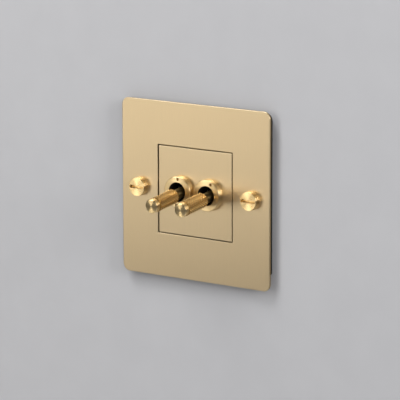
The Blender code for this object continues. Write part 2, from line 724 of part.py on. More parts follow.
def make_case_screw(name, gang, z, materials):
    """A long countersunk screw from the bridge through the case into the base."""
    seat = BRIDGE_FRONT + CASE_SCREW_HEAD_RADIUS - CASE_SCREW_RADIUS
    profile = [
        (0, BRIDGE_FRONT),
        (CASE_SCREW_HEAD_RADIUS, BRIDGE_FRONT),
        (CASE_SCREW_RADIUS, seat),
        (CASE_SCREW_RADIUS, CASE_SCREW_TIP),
        (0, CASE_SCREW_TIP),
    ]
    bm = bmesh.new()
    add_turned(bm, profile, SMALL, Matrix.Translation((0, 0, z)))
    screw = make_piece(name, bm, materials["steel"], gang)
    half = DRIVER_SLOT_WIDTH / 2
    reach = 2 * CASE_SCREW_HEAD_RADIUS
    bm = bmesh.new()
    add_box(bm, (-reach, BRIDGE_FRONT - MM, z - half), (reach, BRIDGE_FRONT + GAP, z + half))
    cut(screw, bm)


def make_housing(side, gang, materials):
    """The case of the mechanism, open at the rear, with a mouth in front for the lever."""
    width = CASE_HALF_WIDTH
    height = CASE_HALF_HEIGHT
    bm = bmesh.new()
    add_box(bm, (-width, CASE_FRONT, -height), (width, CASE_BACK, height))
    housing = make_piece(f"housing_{side}", bm, materials["black_phenolic"], gang)
    inside = width - CASE_WALL
    cavity = CASE_CAVITY_HALF_HEIGHT
    mouth_back = CASE_RECESS_BACK + CASE_MOUTH_DEPTH
    bm = bmesh.new()
    add_box(bm, (-inside, mouth_back, -cavity), (inside, CASE_BACK + MM, cavity))
    cut(housing, bm)
    recess = CASE_RECESS_HALF_HEIGHT
    bm = bmesh.new()
    add_box(bm, (-2 * width, CASE_FRONT - MM, -recess), (2 * width, CASE_RECESS_BACK, recess))
    cut(housing, bm)
    mouth = CASE_MOUTH_HALF_HEIGHT
    bm = bmesh.new()
    add_box(bm, (-inside, CASE_FRONT, -mouth), (inside, mouth_back + MM, mouth))
    cut(housing, bm)
    slot = PIN_RADIUS + GAP
    bm = bmesh.new()
    add_cylinder(bm, (-2 * width, PIVOT_Y, 0), (2 * width, PIVOT_Y, 0), slot, MEDIUM)
    cut(housing, bm)
    bm = bmesh.new()
    add_box(bm, (-2 * width, CASE_FRONT, -slot), (2 * width, PIVOT_Y, slot))
    cut(housing, bm)
    bm = bmesh.new()
    hole = CASE_SCREW_RADIUS + GAP
    for z in (CASE_SCREW_Z, -CASE_SCREW_Z):
        add_cylinder(bm, (0, CASE_FRONT - MM, z), (0, CASE_BACK + MM, z), hole, SMALL)
    cut(housing, bm)


def make_terminal_base(side, gang, outward, materials):
    """The rear block, with a chamber for each terminal and holes for wires and screwdriver."""
    width = CASE_HALF_WIDTH
    height = CASE_HALF_HEIGHT
    bm = bmesh.new()
    add_box(bm, (-width, BASE_FRONT, -height), (width, BASE_BACK, height))
    base = make_piece(f"terminal_base_{side}", bm, materials["black_phenolic"], gang)
    bm = bmesh.new()
    chamber = PILLAR_HALF_WIDTH + GAP
    half = PILLAR_HALF_HEIGHT + GAP
    floor = PILLAR_BACK + GAP
    for z_sign in (-1, 0, 1):
        z = pillar_z(z_sign)
        add_box(bm, (-chamber, BASE_FRONT - MM, z - half), (chamber, floor, z + half))
    cut(base, bm)
    bm = bmesh.new()
    for z_sign in (-1, 0, 1):
        z = pillar_z(z_sign)
        add_cylinder(bm, (0, floor - MM, z), (0, BASE_BACK + MM, z), DRIVER_HOLE_RADIUS, MEDIUM)
    cut(base, bm)
    bm = bmesh.new()
    for z_sign in (-1, 1):
        start = (0, WIRE_HOLE_Y, z_sign * CONTACT_ARM)
        end = (0, WIRE_HOLE_Y, z_sign * (height + MM))
        add_cylinder(bm, start, end, WIRE_ENTRY_RADIUS, MEDIUM)
    end = (outward * (width + MM), WIRE_HOLE_Y, 0)
    add_cylinder(bm, (0, WIRE_HOLE_Y, 0), end, WIRE_ENTRY_RADIUS, MEDIUM)
    cut(base, bm)
    bm = bmesh.new()
    hole = CASE_SCREW_RADIUS + GAP
    for z in (CASE_SCREW_Z, -CASE_SCREW_Z):
        add_cylinder(bm, (0, BASE_FRONT - MM, z), (0, CASE_SCREW_TIP + GAP, z), hole, SMALL)
    cut(base, bm)


def make_gang(side, x, materials):
    outward = math.copysign(1.0, x)
    gang = make_empty(f"gang_{side}", (x, 0, 0))
    lever_pivot = make_empty(f"lever_{side}_pivot", (0, PIVOT_Y, 0), LEVER_TILT, gang)
    rocker_pivot = make_empty(f"rocker_{side}_pivot", (0, ROCKER_Y, 0), ROCKER_TILT, gang)
    make_bush(side, gang, materials)
    make_lever(side, lever_pivot, materials)
    make_dolly(side, lever_pivot, materials)
    make_pivot_pin(side, gang, materials)
    make_plunger(side, lever_pivot, materials)
    make_plunger_spring(side, lever_pivot, materials)
    make_rocker(side, rocker_pivot, materials)
    make_housing(side, gang, materials)
    make_terminal_base(side, gang, outward, materials)
    make_common_terminal(side, gang, materials)
    make_terminal_screw(f"terminal_screw_common_{side}", gang, 0.0, materials)
    for level, z_sign in (("upper", 1), ("lower", -1)):
        z = z_sign * CONTACT_ARM
        make_rocker_contact(f"rocker_contact_{level}_{side}", rocker_pivot, z, materials)
        make_fixed_contact(f"fixed_contact_{level}_{side}", gang, z_sign, materials)
        make_switched_terminal(f"terminal_{level}_{side}", gang, z_sign, materials)
        make_terminal_screw(f"terminal_screw_{level}_{side}", gang, z, materials)
        make_case_screw(f"case_screw_{level}_{side}", gang, z_sign * CASE_SCREW_Z, materials)


# Earth connection

def make_earth_tab(materials):
    """An angle: its foot lies on the bridge, and its leg stands out behind."""
    foot_back = CLAMP_FRONT + EARTH_THICK
    bm = bmesh.new()
    add_box(bm, (-EARTH_HALF_WIDTH, CLAMP_FRONT, EARTH_FOOT_BOTTOM),
            (EARTH_HALF_WIDTH, foot_back, EARTH_LEG_TOP))
    tab = make_piece("earth_tab", bm, materials["terminal_brass"])
    bm = bmesh.new()
    add_box(bm, (-EARTH_HALF_WIDTH + GAP, foot_back - GAP, EARTH_LEG_TOP - EARTH_THICK - GAP),
            (EARTH_HALF_WIDTH - GAP, EARTH_LEG_BACK, EARTH_LEG_TOP - GAP))
    join(tab, bm)
    bm = bmesh.new()
    start = (0, CLAMP_FRONT - MM, EARTH_RIVET_Z)
    end = (0, foot_back + MM, EARTH_RIVET_Z)
    add_cylinder(bm, start, end, EARTH_RIVET_RADIUS + GAP, SMALL)
    start = (0, EARTH_SCREW_Y, EARTH_LEG_TOP + MM)
    end = (0, EARTH_SCREW_Y, EARTH_LEG_TOP - 3 * MM)
    add_cylinder(bm, start, end, EARTH_SCREW_RADIUS + GAP, SMALL)
    cut(tab, bm)


def make_earth_rivet(materials):
    """A rivet through bridge and tab, flush in front and with a head behind."""
    seat = CLAMP_FRONT + EARTH_THICK + GAP
    profile = [
        (0, BRIDGE_FRONT),
        (EARTH_RIVET_RADIUS, BRIDGE_FRONT),
        (EARTH_RIVET_RADIUS, seat),
        (EARTH_RIVET_HEAD_RADIUS, seat),
        (EARTH_RIVET_HEAD_RADIUS, seat + EARTH_RIVET_HEAD),
        (0, seat + EARTH_RIVET_HEAD),
    ]
    bm = bmesh.new()
    add_turned(bm, profile, SMALL, Matrix.Translation((0, 0, EARTH_RIVET_Z)))
    make_piece("earth_rivet", bm, materials["terminal_brass"])


def earth_washer_top():
    return EARTH_LEG_TOP - EARTH_THICK - 2 * GAP


def make_earth_washer(materials):
    top = earth_washer_top()
    half = EARTH_WASHER_HALF
    bm = bmesh.new()
    add_box(bm, (-half, EARTH_SCREW_Y - half, top - EARTH_WASHER_THICK),
            (half, EARTH_SCREW_Y + half, top))
    washer = make_piece("earth_washer", bm, materials["terminal_brass"])
    bm = bmesh.new()
    start = (0, EARTH_SCREW_Y, top - 2 * MM)
    end = (0, EARTH_SCREW_Y, top + MM)
    add_cylinder(bm, start, end, EARTH_SCREW_RADIUS + GAP, SMALL)
    cut(washer, bm)


def make_earth_screw(materials):
    """A cheese head screw, driven upwards through the washer and the tab."""
    holder = make_empty("earth_screw_axis", (0, EARTH_SCREW_Y, 0), math.radians(90))
    seat = earth_washer_top() - EARTH_WASHER_THICK - GAP
    bottom = seat - EARTH_SCREW_HEAD
    profile = [
        (0, bottom),
        (EARTH_SCREW_HEAD_RADIUS, bottom),
        (EARTH_SCREW_HEAD_RADIUS, seat),
        (EARTH_SCREW_RADIUS, seat),
        (EARTH_SCREW_RADIUS, EARTH_SCREW_TOP),
        (0, EARTH_SCREW_TOP),
    ]
    bm = bmesh.new()
    add_turned(bm, profile, MEDIUM)
    screw = make_piece("earth_screw", bm, materials["terminal_brass"], holder)
    half = DRIVER_SLOT_WIDTH
    reach = 2 * EARTH_SCREW_HEAD_RADIUS
    bm = bmesh.new()
    add_box(bm, (-reach, bottom - MM, -half), (reach, bottom + DRIVER_SLOT_DEPTH, half))
    cut(screw, bm)


def main():
    clear_scene()
    materials = make_materials()
    make_face_plate(materials)
    make_insert_plate(materials)
    make_back_frame(materials)
    make_mounting_bridge(materials)
    make_clamp_plate(materials)
    for side, x in zip(("left", "right"), fixing_positions()):
        make_coin_screw(side, x, materials)
    for side, x in zip(("left", "right"), gang_positions()):
        make_gang(side, x, materials)
    make_earth_tab(materials)
    make_earth_rivet(materials)
    make_earth_washer(materials)
    make_earth_screw(materials)


main()
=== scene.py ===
"""Looks of the two gang toggle switch: satin brass plates, turned screws and bushes, knurled levers.

Everything is in metres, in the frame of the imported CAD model: +X to the right, +Z up, and the
front facing -Y. The stage is a thin wall panel with a hole for the mechanism, and a pale floor.
"""
import json
import math

import bmesh
import bpy
from mathutils import Matrix, Quaternion, Vector

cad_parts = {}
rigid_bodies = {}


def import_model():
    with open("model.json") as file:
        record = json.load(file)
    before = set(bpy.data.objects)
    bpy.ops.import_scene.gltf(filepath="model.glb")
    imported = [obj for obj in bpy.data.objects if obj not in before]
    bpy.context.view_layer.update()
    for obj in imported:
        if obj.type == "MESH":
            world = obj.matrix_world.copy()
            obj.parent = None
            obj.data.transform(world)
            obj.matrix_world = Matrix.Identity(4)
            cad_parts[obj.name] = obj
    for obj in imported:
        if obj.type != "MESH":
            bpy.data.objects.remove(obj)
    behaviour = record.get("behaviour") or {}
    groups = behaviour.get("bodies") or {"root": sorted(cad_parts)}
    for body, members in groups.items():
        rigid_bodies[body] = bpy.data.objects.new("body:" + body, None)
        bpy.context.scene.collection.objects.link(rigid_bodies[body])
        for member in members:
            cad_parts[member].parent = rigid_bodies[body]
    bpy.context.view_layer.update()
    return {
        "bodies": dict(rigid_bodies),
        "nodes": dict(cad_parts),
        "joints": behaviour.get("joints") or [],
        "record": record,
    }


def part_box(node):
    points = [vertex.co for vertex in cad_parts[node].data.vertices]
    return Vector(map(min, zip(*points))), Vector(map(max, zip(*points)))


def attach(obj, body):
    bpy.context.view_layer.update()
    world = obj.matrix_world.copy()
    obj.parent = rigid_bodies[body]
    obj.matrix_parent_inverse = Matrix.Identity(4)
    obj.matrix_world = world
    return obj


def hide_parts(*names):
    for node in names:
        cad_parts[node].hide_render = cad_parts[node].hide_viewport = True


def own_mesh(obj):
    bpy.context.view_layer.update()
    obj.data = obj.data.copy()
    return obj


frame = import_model()

MM = 0.001
SIDES = ("left", "right")
JOINTS = {joint["name"]: joint for joint in frame["joints"]}
SLOTS = {subpart["node"]: subpart["material_slot"] for subpart in frame["record"]["subparts"]}

# Camera: it looks at the plate's front from the right and a little from above
CAMERA_AZIMUTH = math.radians(34.97)
CAMERA_ELEVATION = math.radians(11.24)
CAMERA_ROLL = math.radians(-0.14)
CAMERA_DISTANCE = 1.1001
CAMERA_LENS = 222.9
CAMERA_TARGET_X = 2.807 * MM
CAMERA_TARGET_Z = -2.781 * MM

# Shading and bevels
SHARP_ANGLE = 35.0                 # degrees between faces that meet in a sharp edge
SPRING_SHARP_ANGLE = 50.0
FLAT_FACE = 0.9999                 # faces that look this straight along Y are shaded flat
BEVEL_ANGLE = 50.0
BEVEL_SEGMENTS = 2

# Plates
PLATE_CORNER = 3.5 * MM
PLATE_EDGE = 0.36 * MM
EDGE_STEPS = 4
WINDOW_SPACE = 0.44 * MM
WINDOW_CORNER = 0.2 * MM
WINDOW_EDGE = 0.22 * MM
INSERT_CORNER = 0.25 * MM
INSERT_EDGE = 0.2 * MM
HOLE_EDGE = 0.1 * MM
SIDE_SLOPE = 0.35                  # faces steeper than this are a plate's cut sides, painted dark brown as shade
BUSH_HOLE = 5.9 * MM
SCREW_HOLE = 2.1 * MM
SEAT_GAP = 0.05 * MM               # between a plate and the head or flange on it

# Screws
SCREW_EDGE = 0.18 * MM
SCREW_RIM_INSET = 0.05 * MM
SCREW_RIM_DROP = 0.06 * MM
SCREW_GROOVE_EDGE = 0.06 * MM
SCREW_GROOVE_AT = 1.1 * MM
SCREW_GROOVE_WIDTH = 0.25 * MM
SCREW_GROOVE_DEPTH = 0.25 * MM
SCREW_SLOT_WIDTH = 1.45 * MM
SCREW_SLOT_DEPTH = 1.9 * MM
SCREW_SLOT_HALF = 3.75 * MM
SCREW_SHANK = 1.75 * MM
SCREW_PLAIN = 2.0 * MM             # shank without a thread under the head
SCREW_POINT = 1.2 * MM
SCREW_POINT_TAPER = 0.8 * MM
THREAD_PITCH = 0.6 * MM
THREAD_DEPTH = 0.3 * MM
THREAD_CREST = 0.15                # crest and root, as shares of the pitch
THREAD_ROOT = 0.55

# Bushes
BUSH_BORE = 4.42 * MM
BUSH_SHANK = 5.6 * MM
BUSH_EDGE = 0.45 * MM
BUSH_BORE_EDGE = 0.12 * MM
BUSH_SEAT_EDGE = 0.1 * MM
BORE_WALL = 0.05 * MM              # faces this near the bore belong to its dark inside
SPANNER_HOLE = 0.7 * MM
SPANNER_DEPTH = 1.6 * MM
SPANNER_CIRCLE = 5.87 * MM
SPANNER_ANGLE = {"left": 4.0, "right": 26.0}

# Small screws: head radius, head height and shank radius
TERMINAL_SCREW = (1.9 * MM, 1.3 * MM, 1.0 * MM)
EARTH_SCREW = (2.8 * MM, 1.6 * MM, 1.4 * MM)
SMALL_CROWN = 0.7                  # radius of the head's flat crown, as a share of the head's
SMALL_CROWN_DROP = 0.04 * MM
SMALL_SHOULDER = 0.15 * MM
SMALL_SHOULDER_DROP = 0.14 * MM
SMALL_RIM_DROP = 0.35 * MM
SMALL_SEAT_EDGE = 0.1 * MM
SMALL_PLAIN = 0.2 * MM             # shank without a thread under the head
SMALL_POINT = 0.5 * MM
SMALL_POINT_SHARE = 0.6            # radius at the tip, as a share of the shank's
SMALL_SLOT_WIDTH = 0.5 * MM
SMALL_SLOT_DEPTH = 0.6 * MM
SMALL_PITCH = 0.4 * MM
SMALL_THREAD_DEPTH = 0.18 * MM
FACING_REAR = math.pi              # turns about X for a head that faces -Y unturned
FACING_UP = -math.pi / 2

# Moulded and pressed pieces
RECESS_DEPTH = 0.4 * MM
RECESS_RIM = 3.2 * MM
RECESS_HEIGHT = 10.5 * MM
RECESS_SPACE = 0.15                # from the middle to a recess, as a share of its height
RIB_Z = 5.0 * MM
CASE_EDGE = 0.3 * MM
FRAME_EDGE = 0.25 * MM
PRESSED_EDGE = 0.15 * MM
TERMINAL_EDGE = 0.12 * MM

# Levers, measured from the pivot along the lever
LEVER_REACH = 28.8 * MM
LEVER_END = 4.3 * MM
LEVER_FACE = 2.78 * MM
LEVER_COLLAR = 3.2 * MM
LEVER_COLLAR_LENGTH = 2.4 * MM
LEVER_FACE_EDGE = 0.12 * MM
LEVER_FACE_DROP = 0.03 * MM
LEVER_CHAMFER = 0.35 * MM
LEVER_COLLAR_EDGE = 0.08 * MM
GRIP_START = 2.8 * MM
GRIP_END = 16.8 * MM
GRIP_RADIUS = 3.45 * MM
GRIP_DEPTH = 0.32 * MM
GRIP_DIAMONDS = 18
GRIP_PITCH = 1.5 * MM                # length of a diamond along the lever
GRIP_EDGE = 0.35 * MM
GRIP_STEPS = 8                     # faces across a diamond, both ways
GRIP_TOP = 0.85                    # height at which a diamond's point is cut flat
GRIP_SHADE_SHARE = 0.6            # of the depth, below which the grooves are painted dark as shade
LEVER_CORE = 2.9 * MM
CORE_STEP = 0.05 * MM
CORE_STEP_LENGTH = 0.1 * MM
LEVER_NECK = 2.4 * MM
LEVER_NECK_START = 18.6 * MM
LEVER_STUB = 1.5 * MM
LEVER_STUB_END = 2.1 * MM


# ---------------------------------------------------------------- shapes

def link(made):
    bpy.context.scene.collection.objects.link(made)
    return made


def shade(piece, sharp=SHARP_ANGLE):
    """Smooth shading between sharp edges, with normals that keep large faces flat."""
    piece.data.shade_smooth()
    piece.data.set_sharp_from_angle(angle=math.radians(sharp))
    for face in piece.data.polygons:
        face.use_smooth = abs(face.normal.y) < FLAT_FACE
    normals = piece.modifiers.new("normals", "WEIGHTED_NORMAL")
    normals.keep_sharp = True
    normals.weight = 90


def apply_modifiers(piece):
    """Keeps what the modifiers make of a piece, and shades it again."""
    graph = bpy.context.evaluated_depsgraph_get()
    piece.data = bpy.data.meshes.new_from_object(piece.evaluated_get(graph))
    piece.modifiers.clear()
    shade(piece)


def mesh_piece(name, bm, material, sharp=SHARP_ANGLE):
    bmesh.ops.recalc_face_normals(bm, faces=bm.faces)
    mesh = bpy.data.meshes.new(name)
    bm.to_mesh(mesh)
    bm.free()
    mesh.materials.append(material)
    piece = link(bpy.data.objects.new(name, mesh))
    shade(piece, sharp)
    return piece


def cut(piece, bm):
    """Cuts a shape, given in the piece's own coordinates, out of the piece."""
    piece.modifiers.clear()
    bmesh.ops.recalc_face_normals(bm, faces=bm.faces)
    mesh = bpy.data.meshes.new("cutter")
    bm.to_mesh(mesh)
    bm.free()
    cutter = link(bpy.data.objects.new("cutter", mesh))
    cutter.matrix_world = piece.matrix_world
    modifier = piece.modifiers.new("cut", "BOOLEAN")
    modifier.operation = "DIFFERENCE"
    modifier.solver = "EXACT"
    modifier.object = cutter
    apply_modifiers(piece)
    bpy.data.objects.remove(cutter)


def add_box(bm, low, high):
    size = Vector(high) - Vector(low)
    centre = (Vector(high) + Vector(low)) / 2
    matrix = Matrix.Translation(centre) @ Matrix.Diagonal((*size, 1.0))
    bmesh.ops.create_cube(bm, size=1.0, matrix=matrix)


def add_cylinder(bm, start, end, radius, segments):
    start = Vector(start)
    end = Vector(end)
    turn = (end - start).to_track_quat("Z", "Y").to_matrix().to_4x4()
    bmesh.ops.create_cone(
        bm,
        cap_ends=True,
        segments=segments,
        radius1=radius,
        radius2=radius,
        depth=(end - start).length,
        matrix=Matrix.Translation((start + end) / 2) @ turn,
    )


def add_turned(bm, profile, segments=96, closed=False):
    """A profile of (radius, y) points, spun about the Y axis."""
    points = [bm.verts.new((radius, y, 0.0)) for radius, y in profile]
    edges = [bm.edges.new(pair) for pair in zip(points, points[1:])]
    if closed:
        edges.append(bm.edges.new((points[-1], points[0])))
    bmesh.ops.spin(bm, geom=points + edges, cent=(0, 0, 0), axis=(0, 1, 0),
                   angle=2 * math.pi, steps=segments, use_merge=True)
    bmesh.ops.remove_doubles(bm, verts=bm.verts, dist=0.0005 * MM)


def rounded_square(side, radius, steps):
    half = side / 2 - radius
    outline = []
    for quarter, (x, z) in enumerate(((half, half), (-half, half), (-half, -half), (half, -half))):
        for step in range(steps + 1):
            angle = math.pi / 2 * (quarter + step / steps)
            outline.append((x + radius * math.cos(angle), z + radius * math.sin(angle)))
    return outline


def circle(x, z, radius, steps):
    turns = [2 * math.pi * step / steps for step in range(steps)]
    return [(x + radius * math.cos(t), z + radius * math.sin(t)) for t in turns]


def plate_with_holes(name, rim, holes, front, back, material, shaded_side_material=None):
    """A flat plate in the XZ plane. Its rim and holes are square_shape or circle_shape pairs."""
    bm = bmesh.new()
    front_edges = []
    back_edges = []
    for grown, edge, sign in [(*rim, -1)] + [(*hole, 1) for hole in holes]:
        turns = [math.pi / 2 * step / EDGE_STEPS for step in range(EDGE_STEPS + 1)]
        steps = [(sign * edge * (1 - math.sin(t)), edge * (1 - math.cos(t))) for t in turns]
        levels = [(grow, front + depth) for grow, depth in steps]
        levels += [(grow, back - depth) for grow, depth in reversed(steps)]
        rings = [[bm.verts.new((x, y, z)) for x, z in grown(grow)] for grow, y in levels]
        for ring, following in zip(rings, rings[1:]):
            for index in range(len(ring)):
                bm.faces.new((ring[index - 1], ring[index], following[index], following[index - 1]))
        for ring, edges in ((rings[0], front_edges), (rings[-1], back_edges)):
            edges += [bm.edges.get((ring[index - 1], ring[index])) for index in range(len(ring))]
    for edges in (front_edges, back_edges):
        bmesh.ops.triangle_fill(bm, use_beauty=True, edges=edges)
    piece = mesh_piece(name, bm, material)
    # Sides and back take the second look, a dark brown painted shade
    if shaded_side_material:
        piece.data.materials.append(shaded_side_material)
        for face in piece.data.polygons:
            face.material_index = int(face.normal.y > -SIDE_SLOPE)
    return piece


def square_shape(x, side, corner, edge, steps=16):
    """A rounded square with its centre at (x, 0): its outline, grown by a distance, and its edge."""
    def grown(distance):
        outline = rounded_square(side + 2 * distance, corner + distance, steps)
        return [(x + point_x, z) for point_x, z in outline]
    return grown, edge


def circle_shape(x, z, radius, edge, steps=96):
    """A circle with its centre at (x, z), in the same form."""
    return lambda distance: circle(x, z, radius + distance, steps), edge


# ---------------------------------------------------------------- materials

def new_material(name, colour, roughness, metallic):
    material = bpy.data.materials.new(name)
    material.use_nodes = True
    shader = material.node_tree.nodes["Principled BSDF"]
    shader.inputs["Base Color"].default_value = (*colour, 1.0)
    shader.inputs["Roughness"].default_value = roughness
    shader.inputs["Metallic"].default_value = metallic
    return material, material.node_tree, shader


def noise_field(tree, scale, stretch):
    """A noise texture in object coordinates, stretched by a factor along each axis."""
    nodes = tree.nodes
    place = nodes.new("ShaderNodeTexCoord")
    mapping = nodes.new("ShaderNodeMapping")
    mapping.inputs["Scale"].default_value = stretch
    noise = nodes.new("ShaderNodeTexNoise")
    noise.inputs["Scale"].default_value = scale
    noise.inputs["Detail"].default_value = 4.0
    tree.links.new(place.outputs["Object"], mapping.inputs["Vector"])
    tree.links.new(mapping.outputs["Vector"], noise.inputs["Vector"])
    return noise.outputs["Fac"]


def vary_colour(tree, shader, fac, low, high):
    ramp = tree.nodes.new("ShaderNodeValToRGB")
    ramp.color_ramp.elements[0].position = 0.3
    ramp.color_ramp.elements[0].color = (*low, 1.0)
    ramp.color_ramp.elements[1].position = 0.7
    ramp.color_ramp.elements[1].color = (*high, 1.0)
    tree.links.new(fac, ramp.inputs["Fac"])
    tree.links.new(ramp.outputs["Color"], shader.inputs["Base Color"])


def vary_roughness(tree, shader, fac, low, high):
    spread = tree.nodes.new("ShaderNodeMapRange")
    spread.inputs["From Min"].default_value = 0.3
    spread.inputs["From Max"].default_value = 0.7
    spread.inputs["To Min"].default_value = low
    spread.inputs["To Max"].default_value = high
    tree.links.new(fac, spread.inputs["Value"])
    tree.links.new(spread.outputs["Result"], shader.inputs["Roughness"])


def add_bump(tree, shader, fac, strength, distance):
    bump = tree.nodes.new("ShaderNodeBump")
    bump.inputs["Strength"].default_value = strength
    bump.inputs["Distance"].default_value = distance
    tree.links.new(fac, bump.inputs["Height"])
    tree.links.new(bump.outputs["Normal"], shader.inputs["Normal"])


def add_tangent(tree, shader, axis, anisotropy, rotation=0.0):
    tangent = tree.nodes.new("ShaderNodeTangent")
    tangent.direction_type = "RADIAL"
    tangent.axis = axis
    tree.links.new(tangent.outputs["Tangent"], shader.inputs["Tangent"])
    shader.inputs["Anisotropic"].default_value = anisotropy
    shader.inputs["Anisotropic Rotation"].default_value = rotation


def scaled(colour, factor):
    return tuple(channel * factor for channel in colour)


def metal(name, colour, roughness, spread=0.04, grain=1500.0, stretch=(1, 1, 1), bump=0.1):
    """Metal whose colour and roughness vary a little along a fine grain."""
    material, tree, shader = new_material(name, colour, roughness, 1.0)
    fac = noise_field(tree, grain, stretch)
    vary_colour(tree, shader, fac, scaled(colour, 1 - spread), scaled(colour, 1 + spread))
    vary_roughness(tree, shader, fac, roughness - spread, roughness + spread)
    add_bump(tree, shader, fac, bump, 0.01 * MM)
    return material, tree, shader


def brushed_brass(name):
    """Satin brass brushed up and down, so that reflections spread sideways."""
    material, tree, shader = metal(name, PLATE_COLOUR, 0.41, 0.02, 900.0, (6, 6, 0.12), 0.05)
    add_tangent(tree, shader, "Z", 0.72)
    return material


def turned_brass(name, colour, roughness, anisotropy):
    """Brass turned on a lathe about the piece's own Y axis: fine rings on faces and sides."""
    material, tree, shader = metal(name, colour, roughness, 0.03, 1200.0, (1, 1, 1), 0.05)
    add_tangent(tree, shader, "Y", anisotropy, 0.25)
    return material


def plastic(name, colour, roughness):
    """Plastic with a fine, slightly uneven grain."""
    material, tree, shader = new_material(name, colour, roughness, 0.0)
    fac = noise_field(tree, 2500.0, (1, 1, 1))
    vary_colour(tree, shader, fac, scaled(colour, 0.8), scaled(colour, 1.25))
    vary_roughness(tree, shader, fac, roughness - 0.06, roughness + 0.06)
    add_bump(tree, shader, fac, 0.15, 0.02 * MM)
    return material


PLATE_COLOUR = (0.80, 0.64, 0.41)
TURNED_COLOUR = (0.87, 0.65, 0.33)
BUSH_COLOUR = (0.75, 0.57, 0.31)
# Painted shade: darker brass for the lever's neck deep in the bush's bore
NECK_SHADE_COLOUR = (0.55, 0.38, 0.15)
KNURL_COLOUR = (0.97, 0.70, 0.32)
# Painted shade: dark brown for the bottoms of the knurl's grooves
GROOVE_SHADE_COLOUR = (0.34, 0.18, 0.04)
# Painted shade: dark brown for the plates' cut sides and backs
CUT_SHADE_COLOUR = (0.36, 0.23, 0.08)

plate_brass = brushed_brass("plate_brass_look")
cut_shade_brass = metal("cut_brass_look", CUT_SHADE_COLOUR, 0.42, 0.05)[0]
bush_brass = turned_brass("bush_brass_look", BUSH_COLOUR, 0.34, 0.95)
screw_brass = turned_brass("screw_brass_look", TURNED_COLOUR, 0.29, 1.0)
shaded_neck_brass = turned_brass("neck_brass_look", NECK_SHADE_COLOUR, 0.32, 0.8)
lever_brass = turned_brass("lever_brass_look", TURNED_COLOUR, 0.29, 1.0)
knurl_brass = metal("knurl_brass_look", KNURL_COLOUR, 0.20, 0.03)[0]
groove_shade_brass = metal("groove_brass_look", GROOVE_SHADE_COLOUR, 0.34, 0.03)[0]
terminal_brass = metal("terminal_brass_look", (0.80, 0.60, 0.30), 0.34, 0.05)[0]
zinc_steel = metal("zinc_steel_look", (0.62, 0.63, 0.62), 0.36, 0.05, 500.0)[0]
bridge_steel = metal("bridge_steel_look", (0.42, 0.31, 0.13), 0.42, 0.05, 300.0)[0]
silver = metal("silver_look", (0.82, 0.80, 0.76), 0.28, 0.04)[0]
frame_black = plastic("frame_black_look", (0.007, 0.006, 0.005), 0.6)
phenolic = plastic("phenolic_look", (0.022, 0.020, 0.019), 0.42)
nylon = plastic("nylon_look", (0.72, 0.70, 0.64), 0.45)


# ---------------------------------------------------------------- pieces

def take_place(piece, body, slot, *nodes):
    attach(piece, body)
    if nodes:
        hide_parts(*nodes)


def centre_xz(low, high):
    return (low.x + high.x) / 2, (low.z + high.z) / 2


def make_plates():
    low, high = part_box("face_plate")
    insert_low, insert_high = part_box("insert_plate")
    insert_side = insert_high.x - insert_low.x
    insert_x = (insert_low.x + insert_high.x) / 2
    window = insert_side + 2 * WINDOW_SPACE
    rim = square_shape(0, high.x - low.x, PLATE_CORNER, PLATE_EDGE)
    holes = [square_shape(0, window, WINDOW_CORNER, WINDOW_EDGE, 4)]
    for side_name in SIDES:
        x, z = centre_xz(*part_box(f"coin_screw_{side_name}"))
        holes.append(circle_shape(x, z, SCREW_HOLE, HOLE_EDGE, 48))
    plate = plate_with_holes("brass_plate", rim, holes, low.y, high.y, plate_brass, cut_shade_brass)
    take_place(plate, "switch_body", "plate_brass", "face_plate")
    rim = square_shape(insert_x, insert_side, INSERT_CORNER, INSERT_EDGE, 4)
    holes = []
    for side_name in SIDES:
        x, z = centre_xz(*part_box(f"bush_{side_name}"))
        holes.append(circle_shape(x, z, BUSH_HOLE, HOLE_EDGE))
    insert = plate_with_holes("brass_insert", rim, holes, insert_low.y, insert_high.y, plate_brass,
                              cut_shade_brass)
    take_place(insert, "switch_body", "plate_brass", "insert_plate")


def thread_profile(radius, start, end, pitch=THREAD_PITCH, depth=THREAD_DEPTH):
    """Radius and depth points of a threaded shank, as fine rings."""
    points = []
    count = int((end - start) / pitch)
    for index in range(count):
        y = start + index * pitch
        points += [(radius, y), (radius, y + THREAD_CREST * pitch)]
        points += [(radius - depth, y + THREAD_ROOT * pitch)]
    return points + [(radius, start + count * pitch)]


def make_small_screw(node_name, sizes, turn):
    """A slotted cheese head screw. Its head faces local -Y before it is turned about X."""
    head_radius, head, shank = sizes
    low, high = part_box(node_name)
    length = max(high.y - low.y, high.z - low.z)
    profile = [(0, 0), (SMALL_CROWN * head_radius, SMALL_CROWN_DROP)]
    profile += [(head_radius - SMALL_SHOULDER, SMALL_SHOULDER_DROP)]
    profile += [(head_radius, SMALL_RIM_DROP), (head_radius, head - SMALL_SEAT_EDGE)]
    profile += [(head_radius - SMALL_SEAT_EDGE, head), (shank, head)]
    profile += thread_profile(shank, head + SMALL_PLAIN, length - SMALL_POINT, SMALL_PITCH,
                              SMALL_THREAD_DEPTH)
    profile += [(SMALL_POINT_SHARE * shank, length), (0, length)]
    bm = bmesh.new()
    add_turned(bm, profile, 48)
    screw = mesh_piece(f"{node_name}_slotted", bm, terminal_brass)
    bm = bmesh.new()
    half = SMALL_SLOT_WIDTH / 2
    add_box(bm, (-2 * head_radius, -MM, -half), (2 * head_radius, SMALL_SLOT_DEPTH, half))
    cut(screw, bm)
    middle = (low + high) / 2
    if turn == FACING_REAR:
        screw.location = (middle.x, high.y, middle.z)
    else:
        screw.location = (middle.x, middle.y, high.z)
    screw.rotation_euler = (turn, 0, 0)
    take_place(screw, "switch_body", SLOTS[node_name], node_name)


def make_small_screws():
    for side_name in SIDES:
        for part in ("common", "upper", "lower"):
            make_small_screw(f"terminal_screw_{part}_{side_name}", TERMINAL_SCREW, FACING_REAR)
    make_small_screw("earth_screw", EARTH_SCREW, FACING_UP)


